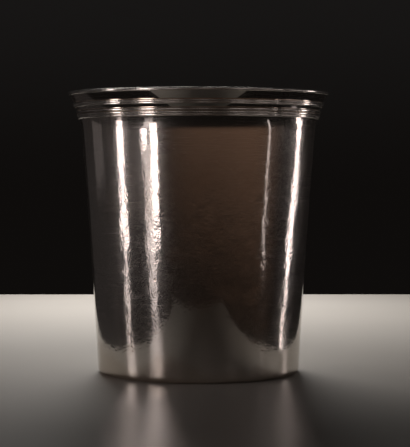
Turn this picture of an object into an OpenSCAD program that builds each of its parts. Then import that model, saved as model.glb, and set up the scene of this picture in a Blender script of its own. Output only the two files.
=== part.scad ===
// Silver timbale: a plain tapering beaker with a flared lip and two bands of reeds.
// Millimetres, +Z up, origin at the middle of the standing ring on the table.
// The foot corner, the wall and the flare are one line of tangent arcs, thickened to sheet.
// The base, the reeds and the lip wire take their seats from the same line.

/* [Cup] */
// Height from the table to the top of the lip
height = 80; // [70:0.5:95]
// Outside diameter over the lip
lip_d = 74; // [66:0.2:84]
// Outside diameter of the wall where it leaves the foot corner
foot_d = 57.6; // [50:0.2:64]
// Lean of the wall from upright where it leaves the foot corner, in degrees
foot_lean = 3; // [1.5:0.1:5]
// Height of the flare, from the neck to the top of the lip
flare_h = 11; // [9.5:0.25:15]
// How far the lip stands out beyond the neck
flare_out = 3.7; // [2.8:0.05:5]
// Thickness of the sheet
wall_t = 0.55; // [0.4:0.05:0.7]

/* [Foot and base] */
// Outside radius of the corner where the wall turns in under the base
foot_r = 1.6; // [1.3:0.1:2.6]
// Width of the flat ring the cup stands on
ring_w = 3; // [2:0.25:6]
// Thickness of the base disc
base_t = 0.6; // [0.4:0.05:1]
// Rise of the middle of the base disc above its edge
base_rise = 0.8; // [0.3:0.1:2]
// How far the solder inside the bottom corner laps over the edge of the base disc
solder_lap = 0.5; // [0.2:0.1:1.5]

/* [Lip and reeds] */
// Diameter of the lip wire
lip_wire_d = 0.85; // [0.75:0.05:1.2]
// Depth of the middle of the upper reeds below the top of the lip
upper_drop = 3.5; // [3:0.1:4]
// Spacing of the upper pair of reeds
upper_pitch = 0.62; // [0.5:0.02:0.8]
// Depth of the middle of the lower reeds below the top of the lip
lower_drop = 6.7; // [6.3:0.05:7.4]
// Spacing of the lower pair of reeds
lower_pitch = 0.7; // [0.5:0.05:0.75]
// Spacing from the lower pair up to the broad bead above it
bead_gap = 0.84; // [0.82:0.02:1]
// Width of the broad bead
bead_w = 0.8; // [0.6:0.05:0.85]
// Height of the broad bead over its strip
bead_h = 0.3; // [0.2:0.05:0.4]
// Thickness of the strips behind the reeds
strip_t = 0.18; // [0.1:0.02:0.3]

/* [Joints] */
// Width of the soldered side seam at the foot
seam_w = 0.3; // [0.2:0.05:0.6]
// Film of solder left between neighbouring pieces
film = 0.02; // [0.01:0.01:0.05]

/* [Hidden] */
silver = [0.83, 0.81, 0.77];
solder_silver = [0.74, 0.73, 0.69];
round_fn = 180;
fillet_fn = 36;
reed_swell = 0.55; // radius of a reed as a share of its spacing
reed_foot = 90; // a reed beside plain strip is a full half round
reed_groove = 60; // and stops short of that in the groove between two reeds
strip_edge = 0.05; // plain edge of a strip beside its outer reeds
solder_edge = 0.06; // thickness of the solder where it runs out over the base
foot_steps = 10;
wall_steps = 16;
flare_steps = 14;
base_steps = 6;
strip_steps = 4;
reed_steps = 9;
wire_steps = 40;

// A stop on the middle line of a sheet is [r, z, lean], where lean is the heading from upright
function heading(from, to) = atan2(to[0] - from[0], to[1] - from[1]);
function span(from, to) = norm([to[0] - from[0], to[1] - from[1]]);
function end_lean(from, to) = 2 * heading(from, to) - from[2];
function share(t, turn) = turn == 0 ? t : sin(t * turn / 2) / sin(turn / 2);

// Stops on the arc that leaves one stop along its lean and ends at another point
function arc_stop(from, to, t, turn) =
    let (chord = span(from, to) * share(t, turn), a = from[2] + t * turn / 2)
    [from[0] + chord * sin(a), from[1] + chord * cos(a), from[2] + t * turn];
function arc_to(from, to, steps) =
    let (turn = end_lean(from, to) - from[2])
    [for (i = [1:steps]) arc_stop(from, to, i / steps, turn)];

// Outline of a sheet of thickness t laid on a middle line
function beside(stop, d) = [stop[0] + d * cos(stop[2]), stop[1] - d * sin(stop[2])];
function sheet(line, t) = concat(
    [for (s = line) beside(s, t / 2)],
    [for (i = [len(line) - 1:-1:0]) beside(line[i], -t / 2)]);

// Foot: the flat ring, then the corner that turns up into the wall
corner_r = foot_r - wall_t / 2;
foot_mid_r = foot_d / 2 - wall_t / 2;
ring_edge_r = foot_mid_r - corner_r * cos(foot_lean);
ring_start = [ring_edge_r - ring_w, wall_t / 2, 90];
ring_end = [ring_edge_r, wall_t / 2, 90];
foot_top = [foot_mid_r, foot_r - corner_r * sin(foot_lean), foot_lean];

// Neck and lip: the flare would end in the middle of the lip wire
wire_r = lip_wire_d / 2;
neck_point = [lip_d / 2 - flare_out - wall_t / 2, height - flare_h];
neck = [neck_point[0], neck_point[1], end_lean(foot_top, neck_point)];
lip_point = [lip_d / 2 - wire_r, height - wire_r];
lip = [lip_point[0], lip_point[1], end_lean(neck, lip_point)];

// The flare is an arc about a middle that lies outside the cup; its edge carries the wire
flare_r = span(neck, lip) / (2 * sin((lip[2] - neck[2]) / 2));
flare_mid = [neck[0] + flare_r * cos(neck[2]), neck[1] - flare_r * sin(neck[2])];
function on_flare(r, lean) = [flare_mid[0] - r * cos(lean), flare_mid[1] + r * sin(lean)];
wire_seat = sqrt(wire_r * wire_r - wall_t * wall_t / 4);
edge_lean = lip[2] - asin(wire_seat / flare_r);
edge_point = on_flare(flare_r, edge_lean);
wire_wrap = acos((film - wire_seat) / wire_r); // half the turn of the wire's round face

wall_line = concat(
    [ring_start, ring_end],
    arc_to(ring_end, foot_top, foot_steps),
    arc_to(foot_top, neck, wall_steps),
    arc_to(neck, edge_point, flare_steps));

// Base: its edge lies on the standing ring, its middle rises in two opposite arcs
base_r = ring_edge_r - film;
base_z = wall_t + film + base_t / 2;
base_rim = [base_r, base_z, -90];
base_bend = [ring_edge_r - ring_w, base_z, -90];
base_half = [base_bend[0] / 2, base_z + base_rise / 2];
base_turn = [base_half[0], base_half[1], end_lean(base_bend, base_half)];
base_line = concat(
    [base_rim, base_bend],
    arc_to(base_bend, base_turn, base_steps),
    arc_to(base_turn, [0, base_z + base_rise], base_steps));

// Solder: fills the groove round the base and runs up the wall in a hollow fillet
solder_z = wall_t + base_t + 2 * film;
solder_in_r = base_r - solder_lap;
fillet_r = foot_mid_r - wall_t / 2 - film - solder_in_r;

// Reeds: strips laid on the outside of the flare
strip_back_r = flare_r - wall_t / 2 - film;
strip_face_r = strip_back_r - strip_t;
function lean_at(drop) = asin((height - drop - flare_mid[1]) / flare_r);
function turn_of(d) = d / strip_face_r * 180 / PI;

// Each reed is [place along the flare, radius, depth of its middle behind the face, angle that
// its round face turns below and above the crest], lowest first
upper_r = reed_swell * upper_pitch;
lower_r = reed_swell * lower_pitch;
bead_r = (bead_w * bead_w / 4 + bead_h * bead_h) / (2 * bead_h);
bead_turn = acos((bead_r - bead_h) / bead_r);
upper_set = [
    [-upper_pitch / 2, upper_r, 0, reed_foot, reed_groove],
    [upper_pitch / 2, upper_r, 0, reed_groove, reed_foot]];
lower_set = [
    [-lower_pitch / 2, lower_r, 0, reed_foot, reed_groove],
    [lower_pitch / 2, lower_r, 0, reed_groove, reed_foot],
    [lower_pitch / 2 + bead_gap, bead_r, bead_r - bead_h, bead_turn, bead_turn]];
function reed_point(reed, lean, turn) =
    let (own = lean + turn_of(reed[0]), middle = on_flare(strip_face_r + reed[2], own))
    middle + reed[1] * [cos(own - turn), -sin(own - turn)];

// Seam: the butt joint of the rolled wall, at the back
seam_angle = 360 * seam_w / (PI * foot_d);
film_angle = 360 * film / (PI * foot_d);
back = 90;

module wall_section() {
    polygon(sheet(wall_line, wall_t));
}

// Space inside the wall, less a gap
module hollow_section(gap) {
    inside = [for (s = wall_line) beside(s, -wall_t / 2 - gap)];
    polygon(concat([[0, inside[0][1]]], inside, [[0, inside[len(inside) - 1][1]]]));
}

// Wire of D section: its round face outwards, its flat a film above the edge of the wall
module wire_section() {
    round_face = [for (i = [0:wire_steps]) edge_lean + wire_wrap * (2 * i / wire_steps - 1)];
    polygon([for (a = round_face) lip_point + wire_r * [sin(a), cos(a)]]);
}

// Strip with rounded reeds side by side, its back lying on the flare
module reed_section(drop, reeds) {
    lean = lean_at(drop);
    first = reeds[0];
    last = reeds[len(reeds) - 1];
    low = lean + turn_of(first[0] - first[1] - strip_edge);
    high = lean + turn_of(last[0] + last[1] + strip_edge);
    back_line = [for (i = [0:strip_steps])
        on_flare(strip_back_r, high + (low - high) * i / strip_steps)];
    front_line = [for (reed = reeds, i = [0:reed_steps])
        reed_point(reed, lean, (reed[3] + reed[4]) * i / reed_steps - reed[3])];
    polygon(concat(
        back_line,
        [on_flare(strip_face_r, low)],
        front_line,
        [on_flare(strip_face_r, high)]));
}

module body_wall() {
    color(silver)
    rotate([0, 0, back + seam_angle / 2])
        rotate_extrude(angle = 360 - seam_angle, $fn = round_fn) wall_section();
}

module side_seam() {
    color(solder_silver)
    rotate([0, 0, back - seam_angle / 2 + film_angle])
        rotate_extrude(angle = seam_angle - 2 * film_angle, $fn = round_fn) wall_section();
}

module base_disc() {
    color(silver)
    rotate_extrude($fn = round_fn) polygon(sheet(base_line, base_t));
}

module base_solder() {
    color(solder_silver)
    rotate_extrude($fn = round_fn)
    difference() {
        intersection() {
            hollow_section(film);
            translate([solder_in_r, 0]) square([foot_d / 2, solder_z + fillet_r]);
        }
        square([base_r + film, solder_z]);
        translate([solder_in_r, solder_z + solder_edge + fillet_r])
            circle(r = fillet_r, $fn = fillet_fn);
    }
}

module lip_wire() {
    color(silver)
    rotate_extrude($fn = round_fn) wire_section();
}

module upper_reed_wire() {
    color(silver)
    rotate_extrude($fn = round_fn) reed_section(upper_drop, upper_set);
}

module lower_reed_wire() {
    color(silver)
    rotate_extrude($fn = round_fn) reed_section(lower_drop, lower_set);
}

body_wall();
side_seam();
base_disc();
base_solder();
lip_wire();
upper_reed_wire();
lower_reed_wire();
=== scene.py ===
import math
import bpy
import bmesh
from mathutils import Matrix, Quaternion, Vector, noise


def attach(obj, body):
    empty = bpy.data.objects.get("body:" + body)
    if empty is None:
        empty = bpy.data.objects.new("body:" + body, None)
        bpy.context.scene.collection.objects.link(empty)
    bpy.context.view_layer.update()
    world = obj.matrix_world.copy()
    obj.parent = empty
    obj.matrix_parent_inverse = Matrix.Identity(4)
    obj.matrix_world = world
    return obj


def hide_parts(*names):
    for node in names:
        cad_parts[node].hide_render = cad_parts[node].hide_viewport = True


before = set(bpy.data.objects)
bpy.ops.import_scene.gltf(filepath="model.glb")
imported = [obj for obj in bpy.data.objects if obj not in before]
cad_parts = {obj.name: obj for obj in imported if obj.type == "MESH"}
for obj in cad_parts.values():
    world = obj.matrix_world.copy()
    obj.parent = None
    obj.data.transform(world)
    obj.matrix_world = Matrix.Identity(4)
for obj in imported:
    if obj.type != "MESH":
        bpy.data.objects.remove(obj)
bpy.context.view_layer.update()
print("frame loaded:", sorted(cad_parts))

# Silver timbale. Lengths are in mm while a piece is drawn, and it is scaled to metres at the end.
cup = {
    "height": 80.0, "lipAcross": 74.0, "footAcross": 57.6, "footLean": 3.0,
    "flareHeight": 11.0, "flareOut": 3.7, "sheet": 0.55, "footRound": 1.6, "ringWide": 3.0,
    "wireAcross": 0.85,  # of the lip
    "seamWide": 0.3,
    "film": 0.02,  # solder left between neighbours
    "turns": 360,  # steps round the cup
    "weld": 0.0004,  # vertices closer than this become one
}
mmPerMetre = 1000


# Drawing a section: a pen leaves a row of vertices behind it
# Its lean is its heading from upright, in degrees

def startPen(bm, r, z, lean):
    return {"bm": bm, "tip": bm.verts.new((r, 0, z)), "lean": lean}


def hop(pen, r, z, rows=1, lean=None):  # straight stroke to a point
    start = pen["tip"].co.copy()
    step = (Vector((r, 0, z)) - start) / rows
    for i in range(rows):
        made = bmesh.ops.extrude_vert_indiv(pen["bm"], verts=[pen["tip"]])["verts"]
        bmesh.ops.translate(pen["bm"], verts=made, vec=step)
        pen["tip"] = made[0]
    pen["lean"] = math.degrees(math.atan2(step.x, step.z)) if lean is None else lean


def swing(pen, r, z, turn, rows):  # arc about a middle, a positive turn adds to the lean
    made = bmesh.ops.spin(pen["bm"], geom=[pen["tip"]], cent=(r, 0, z), axis=(0, 1, 0),
                          angle=math.radians(turn), steps=rows, use_duplicate=False)
    pen["tip"] = [v for v in made["geom_last"] if isinstance(v, bmesh.types.BMVert)][0]
    pen["lean"] += turn


def sweep(pen, r, z, rows, leastTurn=0.01):  # arc that leaves along the lean and ends at a point
    start = pen["tip"].co
    heading = math.degrees(math.atan2(r - start.x, z - start.z))
    turn = 2 * ((heading - pen["lean"] + 180) % 360 - 180)
    if abs(turn) < leastTurn:
        hop(pen, r, z, rows)
        return
    radius = math.hypot(r - start.x, z - start.z) / (2 * math.sin(math.radians(turn / 2)))
    lean = math.radians(pen["lean"])
    swing(pen, start.x + radius * math.cos(lean), start.z - radius * math.sin(lean), turn, rows)


def beside(stop, away):  # point beside a stop of the middle line, outside is positive
    lean = math.radians(stop[2])
    return stop[0] + away * math.cos(lean), stop[1] - away * math.sin(lean)


def endLean(start, end):  # lean at the end of an arc that leaves a stop along its own lean
    return 2 * math.degrees(math.atan2(end[0] - start[0], end[1] - start[1])) - start[2]


def closeLoop(pen):  # last stroke back to the first vertex
    pen["bm"].verts.ensure_lookup_table()
    pen["bm"].edges.new((pen["tip"], pen["bm"].verts[0]))


# From a section to a piece

def turnBy(bm, verts, angle):
    bmesh.ops.rotate(bm, verts=verts, cent=(0, 0, 0), matrix=Matrix.Rotation(angle, 3, "Z"))


def turnRound(bm, steps, start=90.0, angle=360.0):  # section turned about the axis of the cup
    turnBy(bm, bm.verts[:], math.radians(start))
    doublings = 3 if steps % 8 == 0 else 0  # an eighth is spun, then copied on, which is quicker
    part = math.radians(angle) / 2 ** doublings
    bmesh.ops.spin(bm, geom=bm.verts[:] + bm.edges[:], cent=(0, 0, 0), axis=(0, 0, 1),
                   angle=part, steps=steps // 2 ** doublings, use_duplicate=False,
                   use_merge=angle == 360.0 and doublings == 0)
    for i in range(doublings):
        more = bmesh.ops.duplicate(bm, geom=bm.verts[:] + bm.edges[:] + bm.faces[:])["geom"]
        turnBy(bm, [v for v in more if isinstance(v, bmesh.types.BMVert)], part * 2 ** i)
    bmesh.ops.remove_doubles(bm, verts=bm.verts[:], dist=cup["weld"])
    rims = [e for e in bm.edges if len(e.link_faces) == 1]
    if rims:  # the two ends of an open turn
        bmesh.ops.edgeloop_fill(bm, edges=rims)
    bmesh.ops.recalc_face_normals(bm, faces=bm.faces[:])


def finishPiece(bm, name, node, material, sharpOver=34):
    bmesh.ops.scale(bm, vec=(1 / mmPerMetre,) * 3, verts=bm.verts[:])
    for face in bm.faces:
        face.smooth = True
    for edge in bm.edges:
        if len(edge.link_faces) == 2 and edge.calc_face_angle() > math.radians(sharpOver):
            edge.smooth = False
    mesh = bpy.data.meshes.new(name)
    bm.to_mesh(mesh)
    bm.free()
    mesh.materials.append(material)
    piece = bpy.data.objects.new(name, mesh)
    bpy.context.scene.collection.objects.link(piece)
    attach(piece, "root")
    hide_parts(node)
    print("made", name, len(mesh.vertices), "vertices")


def smoothStep(low, high, value):
    share = min(max((value - low) / (high - low), 0), 1)
    return share * share * (3 - 2 * share)


# Materials

def newSkin(name):
    material = bpy.data.materials.new(name)
    material.use_nodes = True
    tree = material.node_tree
    tree.nodes.clear()
    out = tree.nodes.new("ShaderNodeOutputMaterial")
    skin = tree.nodes.new("ShaderNodeBsdfPrincipled")
    tree.links.new(skin.outputs["BSDF"], out.inputs["Surface"])
    return material, tree, skin


def put(tree, kind, feeds=(), **settings):  # feeds are (socket, value or output) pairs
    node = tree.nodes.new("ShaderNode" + kind)
    for key, value in settings.items():
        setattr(node, key, value)
    for socket, value in feeds:
        if isinstance(value, bpy.types.NodeSocket):
            tree.links.new(value, node.inputs[socket])
        else:
            node.inputs[socket].default_value = value
    return node


def sums(tree, operation, *values):
    return put(tree, "Math", list(enumerate(values)), operation=operation).outputs[0]


def remap(tree, value, low, high, toLow=0.0, toHigh=1.0, soft=True):
    kind = "SMOOTHSTEP" if soft else "LINEAR"
    feeds = [(0, value), (1, low), (2, high), (3, toLow), (4, toHigh)]
    return put(tree, "MapRange", feeds, interpolation_type=kind).outputs[0]


def mixTone(tree, share, one, other):
    return put(tree, "Mix", [(0, share), (6, one), (7, other)], data_type="RGBA").outputs[2]


def grain(tree, place, size, detail=2.0, rough=0.5):  # size is the width of one grain in mm
    feeds = [("Vector", place), ("Scale", mmPerMetre / size), ("Detail", detail), ("Roughness", rough)]
    return put(tree, "TexNoise", feeds).outputs["Fac"]


def strokes(tree, place, along, across, turn=0.0):  # long thin grains for scratches, mm
    scale = (mmPerMetre / along, mmPerMetre / across, 1)
    feeds = [("Vector", place), ("Rotation", (0, 0, turn)), ("Scale", scale)]
    laid = put(tree, "Mapping", feeds).outputs[0]
    return put(tree, "TexNoise", [("Vector", laid), ("Scale", 1.0), ("Detail", 1.0)]).outputs["Fac"]


def bump(tree, height, distance, under=None, sunk=False):  # distance in metres
    feeds = [("Strength", 1.0), ("Distance", distance), ("Height", height)]
    if under is not None:
        feeds.append(("Normal", under))
    return put(tree, "Bump", feeds, invert=sunk).outputs[0]


hold = {"turn": 0.14, "calm": 0.28, "full": 0.52}  # the cup is held at two sides, turned a little

finish = {  # what all the silver shares, pairs are where a share starts and where it is full
    "unrollRound": 0.031, "wander": 0.03,  # metres
    "cloudDetail": 3.0, "cloudRough": 0.6, "cloudTone": (0.42, 0.74),
    "polish": (22.0, 0.16), "polishDull": 0.025,  # strokes are length, width and turn
    "lowHairs": (7.0, 0.22, 0.5), "lowHairsFrom": (0.62, 0.7),
    "highHairs": (9.0, 0.25, -1.1), "highHairsFrom": (0.63, 0.71),
    "pitEdge": (0.09, 0.2), "pitTone": 0.5,
    "hazeGrain": 0.035, "hazeFrom": (0.56, 0.66),
    "scuffRough": 0.62, "scuffFrom": (0.5, 0.64),
    # next pair: painted shade at the foot, full at the first height and gone at the second, in metres
    "footShadeFrom": (0.001, 0.007), "toneDull": 0.07,
}


def silverSkin(name, look):
    material, tree, skin = newSkin(name)
    place = put(tree, "TexCoord").outputs["Object"]
    xyz = put(tree, "SeparateXYZ", [(0, place)])
    x, y, z = xyz.outputs
    angle = sums(tree, "ARCTAN2", x, sums(tree, "MULTIPLY", y, -1.0))
    around = sums(tree, "MULTIPLY", angle, finish["unrollRound"])
    unrolled = put(tree, "CombineXYZ", [(0, around), (1, z)]).outputs[0]  # breaks only at the seam

    # Wear: 0 in the bright part, 1 in the rubbed part
    cloud = grain(tree, place, look["cloud"], finish["cloudDetail"], finish["cloudRough"])
    drift = sums(tree, "MULTIPLY_ADD", sums(tree, "SUBTRACT", cloud, 0.5), finish["wander"], z)
    worn = remap(tree, drift, look["wornTop"], look["wornFull"])
    rubbed = sums(tree, "MULTIPLY_ADD", worn, 1 - look["leastWear"], look["leastWear"])
    if look["calmFace"] < 1:  # held at two sides, so the front and the back are rubbed less
        side = sums(tree, "SINE", sums(tree, "SUBTRACT", angle, hold["turn"]))
        side = sums(tree, "ABSOLUTE", side)
        calm = remap(tree, side, hold["calm"], hold["full"], look["calmFace"], 1.0)
        rubbed = sums(tree, "MULTIPLY", rubbed, calm)

    polish = strokes(tree, unrolled, *finish["polish"])
    lowHairs = remap(tree, strokes(tree, unrolled, *finish["lowHairs"]), *finish["lowHairsFrom"])
    highHairs = remap(tree, strokes(tree, unrolled, *finish["highHairs"]), *finish["highHairsFrom"])
    hairs = sums(tree, "MULTIPLY", sums(tree, "MAXIMUM", lowHairs, highHairs), rubbed)
    specks = put(tree, "TexVoronoi", [("Vector", place), ("Scale", mmPerMetre / look["pit"])])
    pits = remap(tree, specks.outputs["Distance"], *finish["pitEdge"], 1.0, 0.0)
    pits = sums(tree, "MULTIPLY", pits, rubbed)
    haze = remap(tree, grain(tree, place, finish["hazeGrain"], detail=1.0), *finish["hazeFrom"])
    scuffs = grain(tree, place, look["scuff"], rough=finish["scuffRough"])
    scuffs = sums(tree, "MULTIPLY", remap(tree, scuffs, *finish["scuffFrom"]), rubbed)

    # Tone: clean silver, brown toning in clouds, pits and grooves, and painted shade that darkens the
    # silver near the foot
    tone = sums(tree, "MULTIPLY", remap(tree, cloud, *finish["cloudTone"]), look["toning"])
    tone = sums(tree, "MAXIMUM", tone, sums(tree, "MULTIPLY", pits, finish["pitTone"]))
    # painted shade: the silver is darkened over its lowest few mm, where the cup stands on the floor, with
    # a cloudy upper edge
    foot = remap(tree, drift, *finish["footShadeFrom"], look["footShade"], 0.0)
    tone = sums(tree, "MAXIMUM", tone, foot)
    if look["groove"]:
        groove = put(tree, "Attribute", attribute_name="groove").outputs["Fac"]
        tone = sums(tree, "MAXIMUM", tone, sums(tree, "MULTIPLY", groove, look["groove"]))
    tree.links.new(mixTone(tree, tone, look["clean"], look["toned"]), skin.inputs["Base Color"])

    # Gloss: mirror above, scuffed below, hazy grains, rubbed patches and hairlines over both
    dull = remap(tree, rubbed, 0.0, 1.0, look["mirror"], look["scuffed"], False)
    dull = sums(tree, "MULTIPLY_ADD", haze, look["haze"], dull)
    dull = sums(tree, "MULTIPLY_ADD", scuffs, look["scuffDull"], dull)
    dull = sums(tree, "MULTIPLY_ADD", hairs, look["hairDull"], dull)
    dull = sums(tree, "MULTIPLY_ADD", tone, finish["toneDull"], dull)
    dull = sums(tree, "MULTIPLY_ADD", polish, finish["polishDull"], dull)
    tree.links.new(dull, skin.inputs["Roughness"])

    # Relief: planishing marks, fine ripple, pits and scratches
    if look["markTall"] > 1:
        marks = strokes(tree, unrolled, look["mark"], look["mark"] * look["markTall"])
    else:
        marks = grain(tree, place, look["mark"], detail=1.0)
    ripple = strokes(tree, unrolled, look["ripple"], look["ripple"] * look["rippleTall"])
    relief = bump(tree, sums(tree, "MULTIPLY", marks, rubbed), look["markHigh"])
    relief = bump(tree, sums(tree, "MULTIPLY", ripple, rubbed), look["rippleHigh"], relief)
    relief = bump(tree, pits, look["pitDeep"], relief, True)
    relief = bump(tree, hairs, look["hairDeep"], relief, True)
    tree.links.new(relief, skin.inputs["Normal"])
    skin.inputs["Metallic"].default_value = 1.0
    return material


# Wall: rolled sheet, turned in under the base and flared at the lip

wall = {
    "outsideRows": 124, "insideRows": 50, "flareRows": 22, "flareInRows": 16, "footRows": 8,
    "ringRows": 3, "edgeRows": 7,
    "planish": ((12.0, 0.022), (5.2, 0.022), (2.6, 0.03)),  # width and height of the hammer marks
    "planishTall": 1.9, "planishTop": 62.0, "planishFull": 38.0, "leastPlanish": 0.03, "calmFace": 0.3,
    "footFlat": (1.2, 3.5), "neckFlat": (72.0, 69.0), "seamFlat": (0.6, 5.0),  # where the marks fade
    "meanRound": 30.0,
    "dings": (  # angle, height, width, depth
        (63, 43.0, 2.6, 0.05), (-42, 31.0, 1.0, 0.022), (-27, 22.0, 1.2, 0.02),
        (-38, 12.5, 1.3, 0.025), (58, 18.0, 1.5, 0.022), (15, 9.0, 2.2, 0.03),
        (118, 27.0, 2.4, 0.035), (-120, 36.0, 2.0, 0.03), (-158, 14.0, 1.8, 0.03),
        (160, 48.0, 2.4, 0.03), (-95, 20.0, 1.4, 0.025)),
}

# Stops on the middle line of the sheet are (r, z, lean)
sheet = cup["sheet"]
half = sheet / 2
cornerMid = cup["footRound"] - half
footMid = cup["footAcross"] / 2 - half
footLean = math.radians(cup["footLean"])
ringEdge = footMid - cornerMid * math.cos(footLean)
ringIn = (ringEdge - cup["ringWide"] + half, half, 90.0)  # the free edge of the ring is filed round
ringEnd = (ringEdge, half, 90.0)
footTop = (footMid, cup["footRound"] - cornerMid * math.sin(footLean), cup["footLean"])
wireRound = cup["wireAcross"] / 2
neck = (cup["lipAcross"] / 2 - cup["flareOut"] - half, cup["height"] - cup["flareHeight"])
neck = (*neck, endLean(footTop, neck))
lip = (cup["lipAcross"] / 2 - wireRound, cup["height"] - wireRound)
lip = (*lip, endLean(neck, lip))

# The flare is an arc about a middle outside the cup, and its edge carries the lip wire
neckLean = math.radians(neck[2])
flareTurn = math.radians(lip[2] - neck[2])
flareRound = math.hypot(lip[0] - neck[0], lip[1] - neck[1]) / (2 * math.sin(flareTurn / 2))
flareMid = (neck[0] + flareRound * math.cos(neckLean), neck[1] - flareRound * math.sin(neckLean))
wireSeat = math.sqrt(wireRound ** 2 - half ** 2)
edgeLean = lip[2] - math.degrees(math.asin(wireSeat / flareRound))


def onFlare(radius, lean):
    lean = math.radians(lean)
    return flareMid[0] - radius * math.cos(lean), flareMid[1] + radius * math.sin(lean)


wallEdge = (*onFlare(flareRound, edgeLean), edgeLean)


def drawWall(bm):
    pen = startPen(bm, *beside(ringIn, half), 90.0)
    hop(pen, *beside(ringEnd, half), wall["ringRows"])
    sweep(pen, *beside(footTop, half), wall["footRows"])
    sweep(pen, *beside(neck, half), wall["outsideRows"])
    sweep(pen, *beside(wallEdge, half), wall["flareRows"])
    hop(pen, *beside(wallEdge, -half), 1, wallEdge[2] + 180)
    sweep(pen, *beside(neck, -half), wall["flareInRows"])
    sweep(pen, *beside(footTop, -half), wall["insideRows"])
    sweep(pen, *beside(ringEnd, -half), wall["footRows"])
    hop(pen, *beside(ringIn, -half), wall["ringRows"], 270.0)
    swing(pen, ringIn[0], ringIn[1], -180 + 180 / wall["edgeRows"], wall["edgeRows"] - 1)
    closeLoop(pen)


def planish(bm):  # hammer marks and dings, both faces of the sheet move together
    least, calm = wall["leastPlanish"], wall["calmFace"]
    for vert in bm.verts:
        r = math.hypot(vert.co.x, vert.co.y)
        angle = math.degrees(math.atan2(vert.co.x, -vert.co.y))
        z = vert.co.z
        share = least + (1 - least) * smoothStep(wall["planishTop"], wall["planishFull"], z)
        share *= smoothStep(*wall["footFlat"], z) * smoothStep(*wall["neckFlat"], z)
        side = abs(math.sin(math.radians(angle) - hold["turn"]))  # calmer at the front and the back
        share *= calm + (1 - calm) * smoothStep(hold["calm"], hold["full"], side)
        share *= smoothStep(*wall["seamFlat"], math.radians(180 - abs(angle)) * r)
        out = Vector((vert.co.x / r, vert.co.y / r, 0))
        spot = out * wall["meanRound"] + Vector((0, 0, z / wall["planishTall"]))
        move = sum(high * noise.noise(spot / wide) for wide, high in wall["planish"]) * share
        for turn, up, wide, deep in wall["dings"]:
            if abs(z - up) < 3 * wide:
                off = math.radians((angle - turn + 180) % 360 - 180) * wall["meanRound"]
                move -= deep * math.exp(-(off * off + (z - up) ** 2) / (wide * wide))
        vert.co += out * move


# In the looks, grains and marks are in mm, heights and the worn line in metres
wallLook = {
    "clean": (0.885, 0.845, 0.795, 1), "toned": (0.6, 0.5, 0.4, 1),
    # the foot value is how dark the painted shade near the foot is
    "toning": 0.35, "cloud": 26.0, "footShade": 0.5, "groove": 0.0,
    "wornTop": 0.078, "wornFull": 0.046, "leastWear": 0.03, "calmFace": 0.2,
    "mirror": 0.035, "scuffed": 0.05, "haze": 0.22, "scuff": 0.55, "scuffDull": 0.03,
    "mark": 1.2, "markTall": 1.9, "markHigh": 3e-5, "ripple": 0.5, "rippleTall": 1.4, "rippleHigh": 1.8e-5,
    "pit": 3.2, "pitDeep": 1.1e-5, "hairDull": 0.12, "hairDeep": 4e-7,
}
wallSilver = silverSkin("polishedSheetSilver", wallLook)
seamTurn = 360 * cup["seamWide"] / (math.pi * cup["footAcross"])

bm = bmesh.new()
drawWall(bm)
turnRound(bm, cup["turns"], 90 + seamTurn / 2, 360 - seamTurn)
planish(bm)
finishPiece(bm, "wallSheet", "body_wall", wallSilver)


# Seam: line of hard solder that closes the rolled wall, at the back

seam = {"steps": 4, "low": 2, "high": 72, "swell": 0.01, "wave": 2.6, "spot": (3.1, 0.7)}
solderLook = {
    "clean": (0.76, 0.735, 0.69, 1), "toned": (0.5, 0.42, 0.34, 1),
    "toning": 0.6, "cloud": 4.0, "footShade": 0.5, "groove": 0.0,
    "wornTop": 0.2, "wornFull": 0.1, "leastWear": 0.5, "calmFace": 1,
    "mirror": 0.1, "scuffed": 0.24, "haze": 0.2, "scuff": 0.4, "scuffDull": 0.06,
    "mark": 0.5, "markTall": 1, "markHigh": 4e-6, "ripple": 0.2, "rippleTall": 1, "rippleHigh": 1e-6,
    "pit": 0.7, "pitDeep": 5e-6, "hairDull": 0.12, "hairDeep": 4e-7,
}
solderSilver = silverSkin("hardSolder", solderLook)

bm = bmesh.new()
drawWall(bm)
turnRound(bm, seam["steps"], 90 - seamTurn / 2, seamTurn)
for vert in bm.verts:  # the solder sinks and swells a little along the joint
    r = math.hypot(vert.co.x, vert.co.y)
    if seam["low"] < vert.co.z < seam["high"]:
        wave = noise.noise(Vector((*seam["spot"], vert.co.z / seam["wave"])))
        vert.co.xy *= 1 + seam["swell"] * wave / r
finishPiece(bm, "seamSolder", "side_seam", solderSilver)


# Base: round bottom let in on the ring, its middle raised

base = {
    "thick": 0.6, "rise": 0.8, "rows": 12, "rimRows": 4, "edgeRows": 8, "steps": 180,
    "punchWide": 0.5, "punchDeep": 0.16, "punchIn": 0.35, "punchUp": 0.5,  # the mark's wall bends here
    "uneven": 0.03, "unevenIn": (23.5, 19.0), "wave": 7, "spot": 4.0,
}

baseRound = ringEdge - cup["film"]
baseUp = sheet + cup["film"] + base["thick"] / 2
baseHalf = base["thick"] / 2
baseRim = (baseRound - baseHalf, baseUp, -90.0)
baseBend = (ringEdge - cup["ringWide"], baseUp, -90.0)
baseTurn = (baseBend[0] / 2, baseUp + base["rise"] / 2)
baseTurn = (*baseTurn, endLean(baseBend, baseTurn))
baseMid = (0.0, baseUp + base["rise"], -90.0)

baseLook = {
    "clean": (0.86, 0.82, 0.765, 1), "toned": (0.56, 0.46, 0.36, 1),
    # the foot value darkens the base with painted shade, as it sits under the cup
    "toning": 0.55, "cloud": 15.0, "footShade": 0.25, "groove": 0.0,
    "wornTop": 0.2, "wornFull": 0.1, "leastWear": 0.4, "calmFace": 1,
    "mirror": 0.09, "scuffed": 0.24, "haze": 0.2, "scuff": 0.6, "scuffDull": 0.06,
    "mark": 2.4, "markTall": 1, "markHigh": 7e-6, "ripple": 0.6, "rippleTall": 1, "rippleHigh": 3e-6,
    "pit": 2.6, "pitDeep": 4e-6, "hairDull": 0.12, "hairDeep": 4e-7,
}
baseSilver = silverSkin("baseSilver", baseLook)

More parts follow.
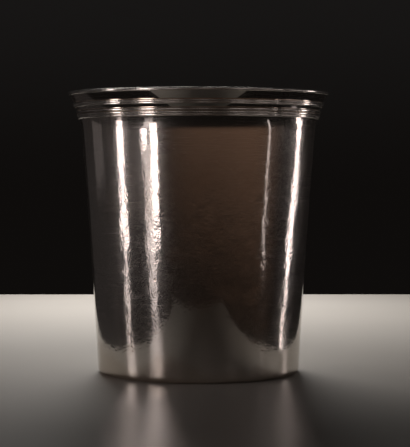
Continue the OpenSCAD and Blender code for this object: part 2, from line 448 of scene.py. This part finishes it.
bm = bmesh.new()
under = beside(baseMid, -baseHalf)
pen = startPen(bm, 0, under[1] + base["punchDeep"], 90.0)  # middle punch mark left by the compass
hop(pen, base["punchWide"] * base["punchIn"], under[1] + base["punchDeep"] * base["punchUp"], rows=2)
hop(pen, base["punchWide"], under[1], rows=3, lean=90.0)
sweep(pen, *beside(baseTurn, -baseHalf), base["rows"])
sweep(pen, *beside(baseBend, -baseHalf), base["rows"])
hop(pen, *beside(baseRim, -baseHalf), base["rimRows"], 90.0)
swing(pen, baseRim[0], baseRim[1], -180, base["edgeRows"])  # rounded edge
hop(pen, *beside(baseBend, baseHalf), base["rimRows"], -90.0)
sweep(pen, *beside(baseTurn, baseHalf), base["rows"])
sweep(pen, *beside(baseMid, baseHalf), base["rows"])
turnRound(bm, base["steps"])
for vert in bm.verts:  # not quite flat
    x, y, z = vert.co
    wave = noise.noise(Vector((x / base["wave"], y / base["wave"], base["spot"])))
    vert.co.z += base["uneven"] * smoothStep(*base["unevenIn"], math.hypot(x, y)) * wave
finishPiece(bm, "baseDisc", "base_disc", baseSilver)


# Solder in the bottom corner, a hollow fillet that runs up the wall

corner = {
    "lap": 0.5, "edge": 0.06, "rows": 12, "wallRows": 6, "topRows": 3, "lowRows": 2, "steps": 240,
    "uneven": 0.05, "wave": 4, "spot": 9.0,
    "clear": 0.25,  # it stays even this close to the wall
    "slack": 0.01,  # in the test of height
}

filletLow = sheet + base["thick"] + 2 * cup["film"]
filletIn = baseRound - corner["lap"]
filletRound = footMid - half - cup["film"] - filletIn
filletTop = filletLow + filletRound
wallIn = beside(footTop, -half - cup["film"])
topIn = (wallIn[0] + (filletTop - wallIn[1]) * math.tan(footLean), filletTop)

bm = bmesh.new()
pen = startPen(bm, ringEdge, sheet + cup["film"], 90.0)
sweep(pen, *wallIn, corner["wallRows"])
hop(pen, *topIn, corner["topRows"], 180 + cup["footLean"])
sweep(pen, filletIn, filletLow + corner["edge"], corner["rows"])
hop(pen, filletIn, filletLow)
hop(pen, ringEdge, filletLow, corner["lowRows"])
closeLoop(pen)
turnRound(bm, corner["steps"])
for vert in bm.verts:  # the run of the solder is a little uneven
    x, y, z = vert.co
    r = math.hypot(x, y)
    if z > filletLow - corner["slack"] and r < wallIn[0] - corner["clear"]:
        wave = noise.noise(Vector((x / corner["wave"], y / corner["wave"], corner["spot"])))
        vert.co.xy *= 1 + corner["uneven"] * wave / r
finishPiece(bm, "baseSolder", "base_solder", solderSilver)


# Lip: D-section wire that rounds the edge

lipRows = 54
trimLook = {
    "clean": (0.89, 0.855, 0.805, 1), "toned": (0.38, 0.29, 0.21, 1),
    "toning": 0.25, "cloud": 9.0, "footShade": 0.0, "groove": 0.8,
    "wornTop": 0.2, "wornFull": 0.1, "leastWear": 0.2, "calmFace": 1,
    "mirror": 0.06, "scuffed": 0.12, "haze": 0.1, "scuff": 0.4, "scuffDull": 0.04,
    "mark": 1.6, "markTall": 1, "markHigh": 2e-6, "ripple": 0.5, "rippleTall": 1, "rippleHigh": 1e-6,
    "pit": 1.6, "pitDeep": 1e-6, "hairDull": 0.12, "hairDeep": 4e-7,
}
trimSilver = silverSkin("reedSilver", trimLook)
lipLook = dict(trimLook, groove=0.0, toning=0.15, mirror=0.14, scuffed=0.16, haze=0.02, markHigh=2e-7,
               rippleHigh=2e-7, pitDeep=2e-7, hairDull=0.01, hairDeep=3e-8)
lipSilver = silverSkin("lipSilver", lipLook)

bm = bmesh.new()
wrap = math.degrees(math.acos(-wireSeat / wireRound))  # half the turn of the round face
first = math.radians(edgeLean - wrap)
pen = startPen(bm, lip[0] + wireRound * math.sin(first), lip[1] + wireRound * math.cos(first), 0.0)
swing(pen, lip[0], lip[1], 2 * wrap, lipRows)
closeLoop(pen)
turnRound(bm, cup["turns"])
finishPiece(bm, "lipWire", "lip_wire", lipSilver)


# Reeds: drawn strips soldered on the outside of the flare

upperReeds = {"drop": 3.5, "pitch": 0.62}
lowerReeds = {"drop": 6.7, "pitch": 0.7, "beadGap": 0.84, "beadWide": 0.8, "beadHigh": 0.3}
reedStrip = {
    "thick": 0.18, "edge": 0.05, "swell": 0.55, "foot": 90.0, "valley": 60.0, "rows": 14, "backRows": 8,
    "sharpOver": 50, "toneFrom": 0.1, "toneTo": 0.62,  # toning fades between these shares of the height
}

stripBack = flareRound - half - cup["film"]
stripFace = stripBack - reedStrip["thick"]


def alongFlare(length):
    return math.degrees(length / stripFace)


# A reed is its place along the flare, roundness, depth of its middle, turn below and above the crest
def reedPair(pitch):
    swell = reedStrip["swell"] * pitch
    return [(-pitch / 2, swell, 0.0, reedStrip["foot"], reedStrip["valley"]),
            (pitch / 2, swell, 0.0, reedStrip["valley"], reedStrip["foot"])]


def drawReeds(name, node, drop, reeds):
    lean = math.degrees(math.asin((cup["height"] - drop - flareMid[1]) / flareRound))
    low = lean + alongFlare(reeds[0][0] - reeds[0][1] - reedStrip["edge"])
    high = lean + alongFlare(reeds[-1][0] + reeds[-1][1] + reedStrip["edge"])
    bm = bmesh.new()
    pen = startPen(bm, *onFlare(stripBack, high), high)
    swing(pen, *flareMid, low - high, reedStrip["backRows"])
    hop(pen, *onFlare(stripFace, low))
    for place, swell, deep, below, above in reeds:
        own = lean + alongFlare(place)
        mid = onFlare(stripFace + deep, own)
        side = math.radians(own + below)
        hop(pen, mid[0] + swell * math.cos(side), mid[1] - swell * math.sin(side))
        swing(pen, *mid, -(below + above), reedStrip["rows"])
    hop(pen, *onFlare(stripFace, high))
    closeLoop(pen)
    turnRound(bm, cup["turns"])
    groove = bm.verts.layers.float.new("groove")
    tallest = max(reed[1] - reed[2] for reed in reeds)
    for vert in bm.verts:  # 1 in the valleys, 0 on the crests
        r = math.hypot(vert.co.x, vert.co.y)
        up = stripFace - math.hypot(r - flareMid[0], vert.co.z - flareMid[1])
        vert[groove] = 1 - smoothStep(reedStrip["toneFrom"] * tallest, reedStrip["toneTo"] * tallest, up)
    finishPiece(bm, name, node, trimSilver, reedStrip["sharpOver"])


drawReeds("upperReeds", "upper_reed_wire", upperReeds["drop"], reedPair(upperReeds["pitch"]))
beadWide, beadHigh = lowerReeds["beadWide"], lowerReeds["beadHigh"]
beadRound = (beadWide ** 2 / 4 + beadHigh ** 2) / (2 * beadHigh)
beadTurn = math.degrees(math.acos((beadRound - beadHigh) / beadRound))
beadPlace = lowerReeds["pitch"] / 2 + lowerReeds["beadGap"]
bead = (beadPlace, beadRound, beadRound - beadHigh, beadTurn, beadTurn)
drawReeds("lowerReeds", "lower_reed_wire", lowerReeds["drop"], reedPair(lowerReeds["pitch"]) + [bead])


# Floor: pale table top, narrower at the front, in metres

floor = {
    "frontWide": 0.111, "backWide": 0.222, "front": -0.132, "back": 0.286, "thick": 0.02, "edge": 0.002,
    "pale": (0.53, 0.5, 0.465, 1), "mid": (0.48, 0.45, 0.415, 1), "mottle": 60.0,  # mm
    "rough": 0.34, "sheen": 0.35,
}

bm = bmesh.new()
bmesh.ops.create_cube(bm, size=1.0)
floorDeep = floor["back"] - floor["front"]
floorMid = (0, (floor["back"] + floor["front"]) / 2, -floor["thick"] / 2)
bmesh.ops.scale(bm, vec=(floor["backWide"], floorDeep, floor["thick"]), verts=bm.verts[:])
frontCorners = [v for v in bm.verts if v.co.y < 0]
bmesh.ops.scale(bm, vec=(floor["frontWide"] / floor["backWide"], 1, 1), verts=frontCorners)
bmesh.ops.translate(bm, vec=floorMid, verts=bm.verts[:])
bmesh.ops.bevel(bm, geom=bm.edges[:], offset=floor["edge"], affect="EDGES", segments=3, profile=0.5,
                material=-1)
floorMesh = bpy.data.meshes.new("paleFloor")
bm.to_mesh(floorMesh)
bm.free()
paleFloor = bpy.data.objects.new("paleFloor", floorMesh)
bpy.context.scene.collection.objects.link(paleFloor)

floorSkin, tree, skin = newSkin("paleTop")
place = put(tree, "TexCoord").outputs["Object"]
mottle = grain(tree, place, floor["mottle"], detail=3.0)
tree.links.new(mixTone(tree, mottle, floor["pale"], floor["mid"]), skin.inputs["Base Color"])
skin.inputs["Roughness"].default_value = floor["rough"]
skin.inputs["Specular IOR Level"].default_value = floor["sheen"]
floorMesh.materials.append(floorSkin)
print("floor laid")


# Light: strips at the sides, dim panels over the eye, a soft box low behind the cup
# Each is its direction from the cup (0 is towards the eye), distance, width, lower and upper end,
# brightness and lean

stripTint = (1.0, 0.87, 0.85)
streakStrips = {  # the streaks on the wall
    "leftEdgeTop": (-79.6, 0.334, 0.044, 0.0236, 0.042, 3.2, 0),
    "leftEdgeDip": (-79.6, 0.334, 0.036, 0.0115, 0.0236, 2.2, 0),
    "leftEdge": (-79.6, 0.334, 0.044, -0.006, 0.0115, 3.2, 0),
    "leftEdgeLow": (-79.6, 0.334, 0.026, -0.08, -0.006, 1.2, 0),
    "leftPane": (-52.6, 0.337, 0.036, 0.0262, 0.036, 3.0, 0),
    "leftFront": (-42.2, 0.339, 0.04, -0.01, 0.042, 3.2, 0),
    "leftFrontSoft": (-50.6, 0.342, 0.052, 0.0125, 0.0254, 0.42, 0),
    "leftFrontSoftLow": (-49.0, 0.342, 0.042, -0.014, 0.0125, 0.85, 0),
    "leftFrontLow": (-47.0, 0.339, 0.048, -0.042, -0.01, 0.8, 0),
    "leftFrontEnd": (-45.6, 0.339, 0.03, -0.08, -0.042, 0.35, 0),
    "rightThin": (69.6, 0.335, 0.009, -0.016, 0.045, 1.15, -14),
    "rightEdgeTop": (112.7, 0.329, 0.058, 0.033, 0.05, 3.2, -33),
    "rightEdge": (110.3, 0.329, 0.038, 0.008, 0.033, 3.2, -33),
    "rightEdgeMid": (107.4, 0.329, 0.026, -0.016, 0.008, 3.2, -33),
    "rightEdgeLow": (102.4, 0.329, 0.026, -0.08, -0.016, 2.4, -33),
}
widePanels = {  # dim, they fill in behind the strips
    "leftRear": (-113.0, 0.32, 0.1, 0.028, 0.11, 0.05, 0),
    "leftFar": (-122.0, 0.37, 0.4, -0.08, 0.11, 0.015, 0),
    "leftGlow": (-62.0, 0.36, 0.34, 0.004, 0.11, 0.016, 0),
}
reedStrips = {  # at the height of the reeds, with a narrow beam that misses the floor
    "leftEdgeHigh": (-77.8, 0.334, 0.044, 0.042, 0.11, 14.0, 0),
    "leftFrontHigh": (-45.6, 0.339, 0.066, 0.042, 0.11, 14.0, 0),
    "rightThinHigh": (72.5, 0.335, 0.01, 0.045, 0.11, 4.0, 0),
    "rightGlowHigh": (91.0, 0.335, 0.12, 0.05, 0.11, 1.0, 0),
    "rightEdgeHigh": (111.5, 0.329, 0.044, 0.05, 0.11, 10.0, 0),
}
lipPanels = {  # over the eye, tipped down, they draw the line of light along the lip
    "lipLeft": (-24.0, 0.5, 0.22, 0.14, 0.26, 1.5, 0),
    "lipFront": (4.0, 0.5, 0.24, 0.14, 0.26, 0.6, 0),
    "lipRight": (38.0, 0.5, 0.24, 0.14, 0.26, 1.4, 0),
    "lipFarRight": (62.0, 0.5, 0.24, 0.14, 0.26, 1.5, 0),
}
streakBeam = {"spread": 30, "rise": 0.055}  # rise is how far over its own height a strip aims
wideBeam = {"spread": 180, "rise": 0.0}
reedBeam = {"spread": 40, "rise": 0.0}
lipBeam = {"spread": 25, "rise": -0.08}
softBox = {
    "at": (-0.04, 0.355, 0.285), "aim": (-0.01, 0.2, 0), "wide": 0.2, "high": 0.16,
    "glow": 35.0, "spread": 65.5, "tint": (1.0, 0.965, 0.925),
}


def areaLight(name, at, aim, wide, high, glow, spread, tint, lean=0):
    light = bpy.data.lights.new(name, "AREA")
    light.shape = "RECTANGLE"
    light.size = wide
    light.size_y = high
    beam = math.radians(spread) / 2
    narrow = 1 - beam / math.tan(beam) if spread < 180 else 1.0  # less is needed for a narrow beam
    light.energy = glow * math.pi * wide * high * narrow  # glow is the brightness of its face
    light.color = tint
    light.spread = math.radians(spread)
    lamp = bpy.data.objects.new(name, light)
    lamp.location = at
    lamp.rotation_mode = "QUATERNION"
    lamp.rotation_quaternion = (Vector(aim) - Vector(at)).to_track_quat("-Z", "Y")
    lamp.rotation_quaternion @= Quaternion((0, 0, 1), math.radians(lean))
    bpy.context.scene.collection.objects.link(lamp)


def hangStrips(strips, spread, rise):
    for name, (turn, away, wide, low, high, glow, lean) in strips.items():
        turn = math.radians(turn)
        at = (away * math.sin(turn), -away * math.cos(turn), (low + high) / 2)
        long = (high - low) / math.cos(math.radians(lean))
        areaLight(name, at, (0, 0, at[2] + rise), wide, long, glow, spread, stripTint, lean)


hangStrips(streakStrips, **streakBeam)
hangStrips(widePanels, **wideBeam)
hangStrips(reedStrips, **reedBeam)
hangStrips(lipPanels, **lipBeam)
areaLight("softBox", **softBox)
print("lights hung", len(bpy.data.lights))


# Room: dark, with a warm band low on the side of the eye

room = {
    "low": (0.0045, 0.0038, 0.0034, 1), "high": (0.009, 0.0082, 0.0078, 1), "rise": (-0.02, 0.12),
    "warm": (0.125, 0.072, 0.048, 1), "warmFrom": (0.42, -0.9, 0.0), "warmSide": (0.3, 0.97),
    "warmFoot": (-0.21, -0.07), "warmHead": (0.03, -0.04),
    "top": (0.03, 0.0285, 0.027, 1), "topRise": (0.2, 0.95),
}
world = bpy.data.worlds.new("dimRoom")
bpy.context.scene.world = world
world.use_nodes = True
tree = world.node_tree
tree.nodes.clear()
heading = put(tree, "TexCoord").outputs["Generated"]
up = put(tree, "SeparateXYZ", [(0, heading)]).outputs[2]
facing = put(tree, "VectorMath", [(0, heading), (1, room["warmFrom"])], operation="DOT_PRODUCT")
nearSide = remap(tree, facing.outputs["Value"], *room["warmSide"])
tint = mixTone(tree, remap(tree, up, *room["rise"]), room["low"], room["high"])
lowBand = sums(tree, "MULTIPLY", remap(tree, up, *room["warmFoot"]), remap(tree, up, *room["warmHead"]))
tint = mixTone(tree, sums(tree, "MULTIPLY", nearSide, lowBand), tint, room["warm"])
tint = mixTone(tree, remap(tree, up, *room["topRise"]), tint, room["top"])
back = put(tree, "Background", [("Color", tint), ("Strength", 1.0)])
tree.links.new(back.outputs[0], put(tree, "OutputWorld").inputs["Surface"])
print("room set")


# Camera: half a metre off, at three quarters of the cup's height, looking down two degrees

eye = {
    "at": (0.0, -0.475, 0.0593), "down": 2.015, "aside": 0.228, "lens": 133.4, "sensor": 36,
    "near": 0.01, "far": 20,
}
camera = bpy.data.cameras.new("camera")
camera.sensor_width = eye["sensor"]
camera.lens = eye["lens"]
camera.clip_start = eye["near"]
camera.clip_end = eye["far"]
eyeObject = bpy.data.objects.new("camera", camera)
eyeObject.location = eye["at"]
eyeObject.rotation_euler = (math.radians(90 - eye["down"]), 0, math.radians(-eye["aside"]))
bpy.context.scene.collection.objects.link(eyeObject)
bpy.context.scene.camera = eyeObject
bpy.context.scene.view_settings.view_transform = "Standard"
